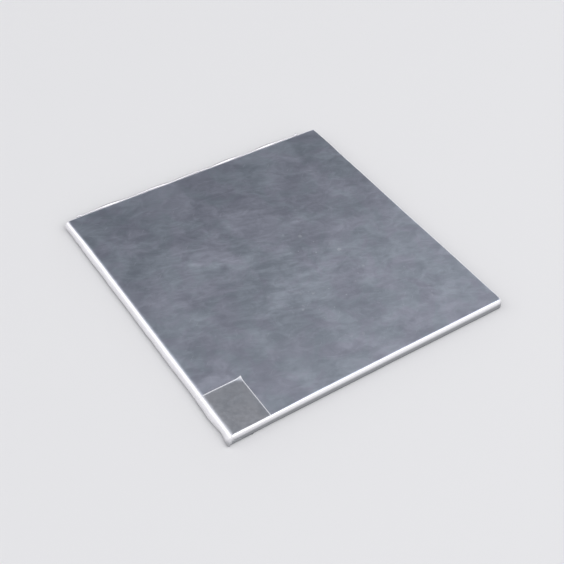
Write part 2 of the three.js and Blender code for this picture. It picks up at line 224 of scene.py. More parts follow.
def crisp_profile(radius, bottom, fold):
    """Insets and heights of a wall with a small round edge above and a tight fold below."""
    roll = np.linspace(0, math.pi / 2, ROLL_STEPS + 1)
    turn = np.linspace(0, math.pi / 2, FOLD_STEPS + 1)[1:]
    wall = np.linspace(TOP - radius, bottom + fold, WALL_STEPS + 1)[1:]
    inset = np.concatenate([radius * (1 - np.sin(roll)), 0 * wall, fold * (1 - np.cos(turn))])
    height = np.concatenate(
        [TOP - radius * (1 - np.cos(roll)), wall, bottom + fold * (1 - np.sin(turn))]
    )
    return inset, height


def soft_profile(reach, foot_out, foot_height, power, fold):
    """Insets and heights of a wall that rolls over in one soft curve and bellies out at its foot."""
    steps = ROLL_STEPS + WALL_STEPS
    angle = np.linspace(0, 1, steps + 1) ** 0.9 * math.pi / 2
    turn = np.linspace(0, math.pi / 2, FOLD_STEPS + 1)[1:]
    curve_in = -foot_out + (reach + foot_out) * (1 - np.sin(angle) ** (2 / power))
    curve_z = foot_height + (TOP - foot_height) * np.cos(angle) ** (2 / power)
    fold_z = RIM_BOTTOM + (foot_height - RIM_BOTTOM) * (1 - np.sin(turn))
    return (
        np.concatenate([curve_in, -foot_out + fold * (1 - np.cos(turn))]),
        np.concatenate([curve_z, fold_z]),
    )


# each wall's section, from the top face's edge to the fold at its foot
PROFILES = {
    "front": soft_profile(1.4, 0.42, 0.85, 2.2, 0.8),
    "right": crisp_profile(1.4, RIM_BOTTOM, 0.25),
    "back": crisp_profile(1.0, 0.42, 0.1),
    "left": soft_profile(2.8, 0.8, 1.0, 2.3, 0.9),
}
RINGS = ROLL_STEPS + WALL_STEPS + FOLD_STEPS + 1
TOP_RADII = ((0.03, 1.4), (0.2, 0.4))  # front left, front right, then back left, back right
WALL_RADII = ((0.1, 2.0), (0.7, 0.8))


# lumps at the left wall's foot: size, distance from the front left corner, and width
LEFT_LUMPS = ((0.55, 1.2, 2.4), (0.62, 15.5, 5.5), (0.18, 23.5, 2.2), (-0.22, 6.8, 2.6))
# the right edge's outline: how far it stands out all along, and its swells' sizes, places and widths
RIGHT_EDGE = 0.46
RIGHT_SWELLS = ((0.45, 63.0, 9.0), (0.2, FRONT, 10.0))
RIGHT_WAVE, RIGHT_WAVE_CREST, RIGHT_WAVE_LENGTH = 0.14, 30.0, 67.0


def left_bulge(y, depth):
    """Lumps at the foot near the patch, and a taut, upright top edge near the back."""
    lumps = sum(size * bump(y - FRONT, place, width) for size, place, width in LEFT_LUMPS)
    waves = 0.10 * ripple(y, 3 * depth, 17, 11) + 0.05 * ripple(y, 2 * depth, 6, 12)
    taut = 0.75 * ease(y, 52.0, BACK)
    return taut * (1 - depth) + (lumps * depth + waves) * depth


def front_bulge(x, depth):
    """A foot that spreads a little at both ends, and a taut top edge under the patch."""
    along = x - LEFT
    belly = 0.15 * (1 - ease(along, 3.0, 26.0)) + 0.22 * ease(along, 80.0, 135.0)
    taut = 0.45 * (1 - ease(along, 10.0, 45.0))
    return taut * (1 - depth) + (belly + 0.035 * ripple(x, 2 * depth, 14, 21)) * depth


def right_bulge(y, depth):
    """The wavy outline of the right edge, the same from top to foot."""
    edge = RIGHT_EDGE + sum(size * bump(y, place, width) for size, place, width in RIGHT_SWELLS)
    edge = edge + RIGHT_WAVE * np.cos(2 * math.pi * (y - RIGHT_WAVE_CREST) / RIGHT_WAVE_LENGTH)
    return edge + 0.05 * ripple(y, 2 * depth, 19, 31)


def back_bulge(x, depth):
    return 0.05 * ripple(x, 2 * depth, 15, 41) * depth


# How far each wall stands out beyond its plain shape. depth is 0 at the top edge and 1 at the foot.
BULGES = {"left": left_bulge, "front": front_bulge, "right": right_bulge, "back": back_bulge}


# ------------------------------------------------------------------ the upper film
CURL = 0.55  # how far in from its cut edge the patch curls up


def with_curl_lines(places, edge):
    """The same positions, with close lines added where the patch's cut edge curls up."""
    clear = (places < edge - CURL - 0.3) | (places > edge + 0.3)
    lines = edge - np.linspace(0, CURL, 6)
    return np.sort(np.concatenate([places[clear], lines]))


xs = with_curl_lines(
    graded(LEFT + PROFILES["left"][0][0], RIGHT - PROFILES["right"][0][0], 0.22, 1.15), PATCH_RIGHT)
ys = with_curl_lines(
    graded(FRONT + PROFILES["front"][0][0], BACK - PROFILES["back"][0][0], 0.22, 1.15), PATCH_BACK)


def perimeter(columns, rows):
    """Indices into a grid round its edge: along the front, up the right, back and down the left."""
    i = np.concatenate([
        np.arange(columns), np.full(rows - 1, columns - 1),
        np.arange(columns - 2, -1, -1), np.zeros(rows - 2, int),
    ])
    j = np.concatenate([
        np.zeros(columns, int), np.arange(1, rows),
        np.full(columns - 1, rows - 1), np.arange(rows - 2, 0, -1),
    ])
    return i, j


edge_i, edge_j = perimeter(len(xs), len(ys))


def stretched(places, low, high):
    """The same positions, with the few nearest each end moved so that they start at low and high."""
    reach = 8.0
    near_low = 1 - ease(places - places[0], 0, reach)
    near_high = 1 - ease(places[-1] - places, 0, reach)
    return places + (low - places[0]) * near_low + (high - places[-1]) * near_high


EAR, EAR_REACH = 0.60, 2.4  # the pointed foot of the front left corner
FOOT_LEVEL = 0.8  # the height at which a wall counts as all the way down
BULGE_REACH = 7.0  # how far in from its edge the top face follows a wall's bulge
# how far the top sinks at each edge, and how far in that starts
SHOULDERS = {"left": (0.17, 7.0), "front": (0.09, 5.0), "right": (0.10, 5.0), "back": (0.08, 5.0)}


def shoulder(near):
    """How far the top sinks towards its edges. near holds the distance from each wall's plane."""
    fall = 0.0
    for side, (drop, reach) in SHOULDERS.items():
        fall = fall + drop * np.clip(1 - near[side] / reach, 0, 1) ** 2.2
    return fall


def corner_weights(near):
    """What share each side's shape has at a point: 1 on that side's edge, and falling off beside it."""
    return {side: 0.5 * (1 - ease(away, 0, ZONE)) + 0.5 * (away < 1e-6)
            for side, away in near.items()}


def wall_ring(k):
    """The film's outer face round the body at step k of the profiles."""
    inset = {side: PROFILES[side][0][k] for side in PROFILES}
    height = {side: PROFILES[side][1][k] for side in PROFILES}
    box = (LEFT + inset["left"], RIGHT - inset["right"], FRONT + inset["front"],
           BACK - inset["back"])
    x = stretched(xs, box[0], box[1])[edge_i]
    y = stretched(ys, box[2], box[3])[edge_j]
    share = ease(k, 0, ROLL_STEPS)
    radii = (1 - share) * np.array(TOP_RADII) + share * np.array(WALL_RADII)
    # how much of each point belongs to each side: half and half at a corner
    near = {
        "left": x - box[0],
        "right": box[1] - x,
        "front": y - box[2],
        "back": box[3] - y,
    }
    weight = corner_weights(near)
    total = sum(weight.values())
    z = sum(weight[side] * height[side] for side in near) / total
    depth = np.clip((TOP - z) / (TOP - FOOT_LEVEL), 0, 1)
    from_wall = {side: near[side] + max(inset[side], 0) for side in near}
    z = z - shoulder(from_wall) * np.clip(1 - depth, 0, 1)
    out_x = (weight["right"] * right_bulge(y, depth) - weight["left"] * left_bulge(y, depth)) / total
    out_y = (weight["back"] * back_bulge(x, depth) - weight["front"] * front_bulge(x, depth)) / total
    x, y = round_corners(x, y, box, radii)
    # the creased front left corner runs out into a pointed ear at its foot
    from_corner = np.hypot(x - box[0], y - box[2])
    ear = EAR * ease(depth, 0.30, 1.0) * np.clip(1 - from_corner / EAR_REACH, 0, 1) ** 1.5
    return np.stack([x + out_x - ear, y + out_y - ear, z], -1)


def top_face(x, y):
    """The film's upper face inside the rounded edges."""
    box = (xs[0], xs[-1], ys[0], ys[-1])
    near = {"left": x - box[0], "right": box[1] - x, "front": y - box[2], "back": box[3] - y}
    margin = np.minimum.reduce(list(near.values()))
    free = ease(margin, 0, 9)
    weight = corner_weights(near)

    def moved(side, place):
        others = sum(weight.values()) - weight[side]
        edge = 1 - ease(near[side], 0, BULGE_REACH)
        return edge * BULGES[side](place, np.zeros_like(place)) / (1 + others)

    out_x = moved("right", y) - moved("left", y)
    out_y = -moved("front", x)
    from_wall = {side: near[side] + PROFILES[side][0][0] for side in near}
    z = TOP - shoulder(from_wall) + free * (
        0.035 * ripple(x, y, 38, 1) + 0.014 * ripple(x, y, 13, 2) + 0.005 * ripple(x, y, 5, 3)
    )
    x, y = round_corners(x, y, box, TOP_RADII)
    return x + out_x, y + out_y, z


def upper_film():
    """The drawn cup and its folded rims, with the indices of its top and of its walls' rings."""
    sheet = Sheet()
    top = sheet.add_points(grid(xs, ys, top_face))
    sheet.add_faces(top)
    rings = [top[edge_i, edge_j]]
    for k in range(1, RINGS):
        rings.append(sheet.add_points(wall_ring(k)))
    rings = np.array(rings)
    closed = np.concatenate([rings, rings[:, :1]], axis=1)
    sheet.add_faces(closed)
    for side in ("left", "front", "right"):
        folded_rim(sheet, rings[-1], side)
    corner_gusset(sheet, rings)
    return sheet, top, rings


GUSSET_START, GUSSET_TIP = -74.75, -63.4
GUSSET_HEIGHT, GUSSET_THICKNESS = 3.0, 0.16


def corner_gusset(sheet, rings):
    """The film left over at the front left corner, folded flat against the front wall."""
    wall = sheet.points()[rings[ROLL_STEPS - 2:, edge_j == 0]]

    def wall_y(x, z):
        y_at = [np.interp(x, ring[:, 0], ring[:, 1]) for ring in wall]
        z_at = [np.interp(x, ring[:, 0], ring[:, 2]) for ring in wall]
        return np.interp(z, z_at[::-1], y_at[::-1])

    def surface(s, t):
        x = GUSSET_START + s * (GUSSET_TIP - GUSSET_START)
        low = 0.12 + 0.12 * s
        z = low + t * (GUSSET_HEIGHT - low) * (1 - s) ** 1.15
        roll = np.sqrt(1 - np.clip((t - 0.90) / 0.10, 0, 1) ** 2)
        end = np.sqrt(1 - np.clip((s - 0.94) / 0.05, 0, 1) ** 2)
        puff = GUSSET_THICKNESS * (1 - 0.3 * s) + 0.12 * bump(s, 0.92, 0.04)
        puff = puff * (1 - 0.25 * ripple(x, 3 * z, 5, 55))
        out = (puff + 0.12) * roll * end * ease(s, -0.02, 0.05) - 0.12
        y = np.vectorize(wall_y)(x, z) - out
        return x, y, z

    sheet.add_grid(grid(np.linspace(0, 0.99, 60), np.linspace(0, 1, 20), surface))


def folded_rim(sheet, last_ring, side):
    """The film's rim under one side, from the fold to its cut edge, mitred at the front corners."""
    columns = len(xs)
    on_side = {"front": edge_j == 0, "right": edge_i == columns - 1, "left": edge_i == 0}[side]
    order = np.flatnonzero(on_side)
    place = xs[edge_i[order]] if side == "front" else ys[edge_j[order]]
    order = order[np.argsort(place)]
    if side != "front":
        order = order[ys[edge_j[order]] < BACK - ZONE - 1]
    start = sheet.points()[last_ring[order]]
    along = start[:, 0] if side == "front" else start[:, 1]
    share = (along - along[0]) / (along[-1] - along[0])
    slit = 0.12
    lines = [last_ring[order]]
    for step in np.linspace(0, 1, 7)[1:]:
        reach = step * RIM_WIDTH[side]
        if side == "front":
            low, high = LEFT + MITRE * reach + slit, RIGHT - MITRE * reach - slit
            x, y = low + share * (high - low), np.full_like(share, FRONT + reach)
        else:
            low = FRONT + reach / MITRE + slit
            x = np.full_like(share, LEFT + reach if side == "left" else RIGHT - reach)
            y = low + share * (along[-1] - low)
        z = RIM_BOTTOM + 0.03 * step * np.clip(ripple(x, y, 16, 52), 0, 1)
        lines.append(sheet.add_points(np.stack([x, y, z], -1)))
    sheet.add_faces(np.array(lines), flip=(side == "left"))


SCALLOP_LENGTH, SCALLOP_HEIGHT = 25, 0.55
SCALLOP_LOW = 1.07  # how far below the CAD model's fin top a hollow between scallops lies
LUG_HEIGHT = 0.60
LEAN_START, LEAN_SPAN = 3.9, 1.3  # the height at which the fin starts to lean out, and over how much


def fin_edge(x):
    """Height of the standing seal's cut edge: shallow scallops, with a raised lug at each end."""
    uneven = x - 9 + 1.5 * np.sin(x / 17)
    scallops = SCALLOP_HEIGHT * abs(np.sin(math.pi * uneven / SCALLOP_LENGTH)) - SCALLOP_LOW
    lugs = LUG_HEIGHT * (bump(x, FIN_LEFT + 1.0, 1.2) + bump(x, FIN_RIGHT - 1.0, 1.3))
    return FIN_TOP + scallops + 0.06 * ripple(x, 0 * x, 9, 61) + lugs


def fin_lean(x, z):
    """How far the standing seal leans out over the back, most of all at its free edge."""
    free = np.clip((z - LEAN_START) / LEAN_SPAN, 0, 1.6)
    curl = 0.62 + 0.22 * np.sin(2 * math.pi * (x - 6) / 31) + 0.12 * ripple(x, 0 * x, 9, 62)
    return curl * free**1.6


def fin_layer(sheet, start_y, start_z, wall_y):
    """One layer of the standing seal: out from under the body and up the back wall."""
    along = graded(FIN_LEFT, FIN_RIGHT, 0.25, 0.9)
    up = np.concatenate([[-2.0, -1.0, 0.0], np.linspace(0, 1, 17)[1:]])

    def surface(x, t):
        height = start_z + np.clip(t, 0, 1) * (fin_edge(x) - start_z)
        y = np.where(t < 0, start_y + (t + 2) / 2 * (wall_y - start_y), wall_y)
        return x, y + fin_lean(x, height), height

    sheet.add_grid(grid(along, up, surface))


film_sheet, top_index, ring_index = upper_film()
fin_layer(film_sheet, BACK - 0.1, COVER_BOTTOM + LAYER, BACK + 0.01)
film = make_piece("film_upper", film_sheet.points(), film_sheet.faces,
                  ["pouch_cup"])
thicken(film, LAMINATE)


# ------------------------------------------------------------------ the lower film
def cover_height(x, y):
    """Height of the cover's outer face: flat under the stack, raised over the tabs."""
    step = (RAISED_COVER - COVER_BOTTOM) * ease(x, JOGGLE_START - 0.4, JOGGLE_END + 0.2)
    return COVER_BOTTOM + step + 0.03 * ripple(x, y, 24, 71) + 0.012 * ripple(x, y, 7, 72) + 0.02


def lower_film():
    """The flat cover and its folded rims."""
    sheet = Sheet()
    box = (LEFT - 0.2, RIGHT - 0.8, FRONT + 0.35, BACK - 0.35)
    start, end = 62.0, 64.4  # the lines are close together over the step to the raised part
    across = np.unique(np.concatenate([
        graded(box[0], start, 0.4, 1.2), np.linspace(start, end, 13), np.linspace(end, box[1], 10),
    ]))

    def surface(x, y):
        z = cover_height(x, y)
        x, y = round_corners(x, y, box, ((0.8, 1.4), (2.2, 1.6)))
        return x, y, z

    sheet.add_grid(grid(across, graded(box[2], box[3], 0.4, 1.2), surface), flip=True)
    for side in ("left", "front", "right"):
        cover_rim(sheet, side)
    return sheet


def cover_rim(sheet, side):
    """The cover's own rim, which lies between the cup's rim and the body.

    It starts a little way in from the fold, and is narrower and shorter than the cup's.
    """
    level = RAISED_RIM if side == "right" else COVER_RIM
    start, narrower = 0.9, 1.5
    gap, right_gap, back_gap = 0.5, 3.2, 5.0
    share = np.linspace(0, 1, 90)
    lines = []
    for step in np.linspace(0, 1, 5):
        reach = start + step * (RIM_WIDTH[side] - narrower)
        if side == "front":
            low, high = LEFT + MITRE * reach + gap, RIGHT - MITRE * reach - right_gap
            x, y = low + share * (high - low), np.full_like(share, FRONT + reach)
        else:
            low = FRONT + reach / MITRE + gap
            x = np.full_like(share, LEFT + reach if side == "left" else RIGHT - reach)
            y = low + share * (BACK - back_gap - low)
        lines.append(np.stack([x, y, np.full_like(x, level)], -1))
    sheet.add_grid(np.array(lines), flip=(side == "left"))


cover_sheet = lower_film()
fin_layer(cover_sheet, BACK - 1.0, COVER_BOTTOM, BACK + 0.17)
cover = make_piece("film_lower", cover_sheet.points(), cover_sheet.faces,
                   ["pouch_cover"])
thicken(cover, LAMINATE)


# ------------------------------------------------------------------ the corner patch
CLING = 0.02  # the gap between the film and the patch stuck to it
EDGE_LIFT = 0.20
APEX_LIFT, APEX_REACH = 0.62, 1.3  # the lifted corner at the patch's back right


def corner_patch():
    """A square of tape over the front left corner, laid on the film's own surface."""
    points = film_sheet.points()
    normals = point_normals(points, film_sheet.faces)
    columns = np.flatnonzero(xs <= PATCH_RIGHT + 1e-6)
    rows = np.flatnonzero(ys <= PATCH_BACK + 1e-6)
    in_top = top_index[np.ix_(columns, rows)]
    on_left = np.flatnonzero((edge_i == 0) & (edge_j <= rows[-1]) & (edge_j > 0))
    on_front = np.flatnonzero((edge_j == 0) & (edge_i <= columns[-1]))
    around = np.concatenate([on_left, on_front])
    left_rings, front_rings = ROLL_STEPS + WALL_STEPS - 2, ROLL_STEPS
    wrapped = ring_index[:, around]
    in_rings = np.arange(RINGS)[:, None]
    reach = np.concatenate([np.full(len(on_left), left_rings), np.full(len(on_front), front_rings)])
    keep = in_rings[1:] <= np.minimum(reach[:-1], reach[1:])[None, :]
    sheet = Sheet()
    sheet.add_faces(in_top)
    sheet.add_faces(wrapped, keep=keep)
    used, faces = np.unique(np.array(sheet.faces), return_inverse=True)
    sheet.faces = faces.reshape(-1, 4).tolist()
    place = points[used]
    off = np.full(len(used), CLING)
    to_right, to_back = PATCH_RIGHT - place[:, 0], PATCH_BACK - place[:, 1]
    level = np.clip(normals[used, 2], 0, 1) ** 4
    for to_edge in (to_right, to_back):
        off += EDGE_LIFT * level * np.clip(1 - to_edge / CURL, 0, 1) ** 1.4
    off += APEX_LIFT * bump(np.hypot(to_right, to_back), 0, APEX_REACH)
    off += 0.22 * bump(to_back, 0, 0.8) * bump(to_right, 0, 5.0)
    sheet.add_points(place + normals[used] * off[:, None])
    return sheet


def point_normals(points, faces):
    """Unit normals at the points, averaged from the faces round them."""
    corners = points[np.array(faces)]
    across = np.cross(corners[:, 2] - corners[:, 0], corners[:, 3] - corners[:, 1])
    normals = np.zeros_like(points)
    for k in range(4):
        np.add.at(normals, np.array(faces)[:, k], across)
    return normals / np.maximum(np.linalg.norm(normals, axis=1, keepdims=True), 1e-12)


patch_sheet = corner_patch()
patch = make_piece("corner_tape", patch_sheet.points(), patch_sheet.faces,
                   ["corner_patch"])
thicken(patch, TAPE, 1.0)


# ------------------------------------------------------------------ tapes under the body
def rim_tape(node, along_front, seed):
    """A strip of thin tape from a folded rim over its cut edge onto the cover."""
    low, high = (np.array(corner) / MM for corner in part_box(node))
    edge = FRONT + RIM_WIDTH["front"] if along_front else LEFT + RIM_WIDTH["left"]
    across = np.linspace(low[0], high[0], 29) if along_front else np.linspace(low[1], high[1], 29)
    start, end = (low[1], high[1]) if along_front else (low[0], high[0])
    along = np.concatenate([np.linspace(start, edge, 12)[:-1], np.linspace(edge, edge + 1, 9),
                            np.linspace(edge + 1, end, 14)[1:]])

    def surface(t, w):
        cling = 0.02 * np.clip(ripple(t, w, 4, seed), 0, 1)
        z = cling + (COVER_BOTTOM - 0.02 - TAPE) * ease(t, edge + 0.05, edge + 0.8)
        z = z - 0.03 * ease(t, edge + 0.5, edge + 1.5)
        return (w, t, z) if along_front else (t, w, z)

    sheet = Sheet()
    sheet.add_grid(grid(along, across, surface), flip=not along_front)
    piece = make_piece(node + "_strip", sheet.points(), sheet.faces, [node])
    thicken(piece, TAPE)
    return piece


rim_tapes = [rim_tape(f"front_rim_tape_{i}", True, 80 + i) for i in (1, 2, 3)]
rim_tapes += [rim_tape(f"left_rim_tape_{i}", False, 90 + i) for i in (1, 2)]


# ------------------------------------------------------------------ materials
def rgb(r, g, b):
    return (r, g, b, 1.0)


class Look:
    """A node material whose coordinates are millimetres in the cell's own frame."""

    def __init__(self, name, **constants):
        self.material = bpy.data.materials.new(name)
        self.material.use_nodes = True
        self.tree = self.material.node_tree
        self.shader = self.tree.nodes["Principled BSDF"]
        for socket, value in constants.items():
            self.shader.inputs[socket.replace("_", " ")].default_value = value
        place = self.node("ShaderNodeTexCoord").outputs["Object"]
        self.place = self.node("ShaderNodeVectorMath", {"operation": "SCALE"},
                               {"Vector": place, "Scale": 1 / MM}).outputs["Vector"]

    def node(self, kind, settings=None, inputs=None):
        made = self.tree.nodes.new(kind)
        for name, value in (settings or {}).items():
            setattr(made, name, value)
        for key, value in (inputs or {}).items():
            if isinstance(value, bpy.types.NodeSocket):
                self.tree.links.new(value, made.inputs[key])
            else:
                made.inputs[key].default_value = value
        return made

    def math(self, operation, a, b=0.0, clamp=False):
        settings = {"operation": operation, "use_clamp": clamp}
        return self.node("ShaderNodeMath", settings, {0: a, 1: b}).outputs[0]

    def turned(self, degrees, stretch, shift=(0, 0, 0)):
        """Coordinates turned about Z, then stretched: a small factor makes a long feature."""
        mapping = self.node("ShaderNodeMapping", {"vector_type": "POINT"}, {"Vector": self.place})
        mapping.inputs["Rotation"].default_value = (0, 0, math.radians(-degrees))
        mapping.inputs["Location"].default_value = shift
        scaled = self.node("ShaderNodeVectorMath", {"operation": "MULTIPLY"},
                           {0: mapping.outputs["Vector"], 1: stretch})
        return scaled.outputs["Vector"]

    def noise(self, size, detail=3.0, rough=0.5, distort=0.0, at=None):
        """Noise with features about size millimetres across."""
        inputs = {"Vector": at or self.place, "Scale": 1 / size, "Detail": detail,
                  "Roughness": rough, "Distortion": distort}
        return self.node("ShaderNodeTexNoise", None, inputs).outputs["Fac"]

    def band(self, value, low, high, to_low=0.0, to_high=1.0):
        """Smoothly maps the range low to high onto to_low to to_high."""
        inputs = {"Value": value, "From Min": low, "From Max": high, "To Min": to_low,
                  "To Max": to_high}
        settings = {"interpolation_type": "SMOOTHSTEP"}
        return self.node("ShaderNodeMapRange", settings, inputs).outputs["Result"]

    def mix(self, share, a, b, blend="MIX"):
        """Colour a where share is 0, and where it is 1 colour b, or a times b with MULTIPLY."""
        settings = {"data_type": "RGBA", "blend_type": blend}
        return self.node("ShaderNodeMix", settings, {0: share, 6: a, 7: b}).outputs[2]

    def bumps(self, *layers):
        """Chains bump layers, each (height, depth in millimetres)."""
        normal = None
        for height, depth in layers:
            inputs = {"Height": height, "Strength": 1.0, "Distance": depth * MM}
            if normal is not None:
                inputs["Normal"] = normal
            normal = self.node("ShaderNodeBump", None, inputs).outputs["Normal"]
        self.tree.links.new(normal, self.shader.inputs["Normal"])

    def set(self, socket, value):
        self.tree.links.new(value, self.shader.inputs[socket])

    def specks(self, spacing, size, shift=(0, 0, 0)):
        """Scattered dots, 1 inside and 0 outside, of uneven size and outline."""
        bend = self.node("ShaderNodeTexNoise", None, {"Vector": self.place, "Scale": 1 / size})
        bend = self.node("ShaderNodeVectorMath", {"operation": "SCALE"},
                         {"Vector": bend.outputs["Color"], "Scale": 1.2 * size})
        at = self.node("ShaderNodeVectorMath", {"operation": "ADD"},
                       {0: self.turned(17, (1, 1, 1), shift), 1: bend.outputs["Vector"]})
        at = at.outputs["Vector"]
        inputs = {"Vector": at, "Scale": 1 / spacing, "Randomness": 1.0}
        cell = self.node("ShaderNodeTexVoronoi", {"feature": "F1"}, inputs)
        spread = self.node("ShaderNodeSeparateColor", None, {"Color": cell.outputs["Color"]})
        radius = self.math("MULTIPLY", spread.outputs[0], size / spacing)
        inside = self.math("SUBTRACT", radius, cell.outputs["Distance"])
        return self.band(inside, 0.0, 0.25 * size / spacing)

    def near(self, middle, full, none):
        """1 within one distance of a point, fading to 0 at another."""
        inputs = {0: self.place, 1: middle}
        away = self.node("ShaderNodeVectorMath", {"operation": "DISTANCE"}, inputs)
        return self.band(away.outputs["Value"], full, none, 1.0, 0.0)

    def scratches(self, spacing, width, degrees, shift=(0, 0, 0)):
        """Short thin lines, each in a cell of its own, 1 on the line and 0 off it."""
        at = self.turned(degrees, (0.35, 1, 1), shift)
        inputs = {"Vector": at, "Scale": 1 / spacing, "Randomness": 1.0}
        cell = self.node("ShaderNodeTexVoronoi", {"feature": "F1"}, inputs)
        off = self.node("ShaderNodeVectorMath", {"operation": "SUBTRACT"},
                        {0: at, 1: cell.outputs["Position"]})
        away = self.node("ShaderNodeSeparateXYZ", None, {"Vector": off.outputs["Vector"]})
        spread = self.node("ShaderNodeSeparateColor", None, {"Color": cell.outputs["Color"]})
        thin = self.band(self.math("ABSOLUTE", away.outputs["Y"]), width, 2.2 * width, 1.0, 0.0)
        short = self.band(self.math("ABSOLUTE", away.outputs["X"]), 0.25, 0.6, 1.0, 0.0)
        some = self.band(spread.outputs[0], 0.6, 0.7)
        return self.math("MULTIPLY", self.math("MULTIPLY", thin, short), some)


# the middle of the painted shade at the front left corner's ear
EAR_MIDDLE = (LEFT - 1, FRONT - 1, 0.5)
# the walls' bright colour, a painted highlight; the painted shade low on them; the painted contact
# shadow at their foot
LIT_WALL_COLOUR = rgb(0.90, 0.89, 0.91)
SHADED_WALL = rgb(0.33, 0.34, 0.355)
FOOT_SHADOW = rgb(0.13, 0.135, 0.15)
MARK = rgb(0.84, 0.88, 0.96)
WARM_TINT, COOL_TINT = rgb(1.0, 0.97, 0.99), rgb(0.975, 1.0, 0.99)
WIPED_MIDDLE = (-18, 6, 5)  # where the top was wiped most
DUSTY_MIDDLE = (26, -22, 5)  # where most of the bright specks lie


def painted_wall_light(look, colour, lit_wall_and_bare_foil):
    """The flat faces keep their colour, and the walls get a bright colour, a painted highlight.

    Painted shade darkens them low down, all but the left one, and at the ear and on the fin, and a
    painted contact shadow darkens the foot.
    """
    parts = look.node("ShaderNodeSeparateXYZ", None, {"Vector": look.place}).outputs
    x, y, z = parts["X"], parts["Y"], parts["Z"]
    margin = look.math("MINIMUM",
                       look.math("SUBTRACT", RIGHT, look.math("ABSOLUTE", x)),
                       look.math("SUBTRACT", BACK, look.math("ABSOLUTE", y)))
    above = look.math("MULTIPLY", look.band(z, TOP - 0.6, TOP - 0.1), look.band(margin, 0.3, 0.9))
    below = look.math("MULTIPLY", look.band(z, 0.6, 0.9, 1.0, 0.0), look.band(margin, 0.8, 1.8))
    # painted shade: every wall but the left one is darker low down
    low_shade = look.math("MULTIPLY", look.band(z, TOP - 2.7, TOP - 1.1, 1.0, 0.0),
                     look.band(x, LEFT + 0.1, LEFT + 0.6))
    # painted shade at the ear of the front left corner
    ear_shade = look.math("MULTIPLY", look.near(EAR_MIDDLE, 1.0, 4.0), 0.75)
    # painted contact shadow along the foot of the walls
    foot = look.math("MULTIPLY", look.band(z, 0.09, 0.16), look.band(z, 0.4, 1.4, 1.0, 0.0))
    # the fin takes a quarter of the painted shade
    fin_shade = look.math("MULTIPLY", look.band(y, BACK + 0.02, BACK + 0.12), 0.25)
    shade_share = look.math("MAXIMUM", look.math("MAXIMUM", low_shade, ear_shade), fin_shade)
    # the walls get the bright colour, a painted highlight, then the painted shade and the painted
    # contact shadow
    wall = look.mix(shade_share, lit_wall_and_bare_foil, SHADED_WALL)
    wall = look.mix(foot, wall, FOOT_SHADOW)
    return look.mix(look.math("ADD", above, below, clamp=True), wall, colour)


def haze_and_front_light(look):
    """How hazy the film is, from 0 to 1: clouds, mottling and wiped streaks, over a rise towards the
    front that also paints the top lighter there, a painted light gradient.
    """
    clouds = look.band(look.noise(24, 5, 0.6, 0.5), 0.38, 0.66)
    mottle = look.band(look.noise(6.5, 6, 0.68, 0.9, look.turned(-17, (0.75, 1.2, 1))), 0.36, 0.68)
    strands = look.noise(4.2, 3, 0.5, 0.9, look.turned(-18, (0.17, 1.0, 1), (40, 0, 0)))
    bent = look.noise(6.5, 4, 0.5, 1.1, look.turned(-12, (0.25, 1.0, 1), (11, 5, 0)))
    streaks = look.math("ADD", look.band(strands, 0.50, 0.74), look.band(bent, 0.48, 0.72))
    streaks = look.math("MULTIPLY", streaks, look.near(WIPED_MIDDLE, 28, 64))
    smears = look.noise(11, 2.5, 0.45, 1.4, look.turned(-15, (0.5, 1.1, 1), (0, 9, 0)))
    smears = look.math("SUBTRACT", look.band(smears, 0.505, 0.545), look.band(smears, 0.60, 0.63))
    across = look.node("ShaderNodeVectorMath", {"operation": "DOT_PRODUCT"},
                       {0: look.place, 1: (0.2, -0.98, 0)}).outputs["Value"]
    # painted light: the haze rises towards the front, which lightens the top there like a brighter
    # reflection
    haze_and_light = look.band(across, -95, 95, 0.06, 0.45)
    for layer, amount in ((clouds, 0.18), (smears, 0.055), (mottle, 0.19), (streaks, 0.13)):
        haze_and_light = look.math("ADD", haze_and_light, look.math("MULTIPLY", layer, amount), clamp=True)
    return haze_and_light


def specks_and_nicks(look):
    """How strongly the marks show: specks in clusters, and short scratches everywhere."""
    clusters = look.noise(15, 3, 0.6, 0.0, look.turned(0, (1, 1, 1), (3, 50, 0)))
    clusters = look.math("MULTIPLY", look.band(clusters, 0.47, 0.57), look.near(DUSTY_MIDDLE, 25, 58))
    dots = look.math("MAXIMUM", look.specks(5.2, 1.25), look.specks(2.6, 0.55, (7, 3, 0)))
    dots = look.math("MULTIPLY", dots, clusters)
    nicks = look.math("MULTIPLY", look.scratches(8.0, 0.05, 40), 0.8)
    nicks = look.math("MAXIMUM", nicks, look.scratches(9.5, 0.045, -35, (5, 2, 0)))
    return look.math("MAXIMUM", look.math("MULTIPLY", dots, 0.55), look.math("MULTIPLY", nicks, 0.5))


def laminate_look(name, dark, light, lit_wall_and_bare_foil, smudged):
    """Satin aluminium laminate: the flat faces are wiped and smudged, and the walls get a bright
    colour, a painted highlight, with painted shade low down.
    """
    look = Look(name)
    haze_and_light = look.math("MULTIPLY", haze_and_front_light(look), smudged)
    marks = specks_and_nicks(look)
    patches = look.noise(17, 4, 0.6, 0.8, look.turned(30, (1, 1, 1), (60, 0, 0)))
    tint = look.mix(look.band(patches, 0.4, 0.6), WARM_TINT, COOL_TINT)
    # the haze lightens the colour, so its rise towards the front paints light on the top
    colour = look.mix(1.0, look.mix(haze_and_light, dark, light), tint, "MULTIPLY")
    colour = look.mix(marks, colour, MARK)
    # the walls get their painted highlight, painted shade and painted contact shadow here
    look.set("Base Color", painted_wall_light(look, colour, lit_wall_and_bare_foil))
    fine = look.noise(0.5, 2, 0.6)
    rough = look.math("ADD", look.math("MULTIPLY", haze_and_light, 0.12), look.math("MULTIPLY", fine, 0.06))
    look.set("Roughness", look.math("ADD", rough, 0.29))
    look.set("Metallic", look.math("SUBTRACT", 0.97, look.math("MULTIPLY", haze_and_light, 0.14)))
    look.bumps((look.noise(0.35, 3, 0.6), 0.006), (look.noise(4.5, 3, 0.5), 0.03), (marks, 0.008))
    return look.material


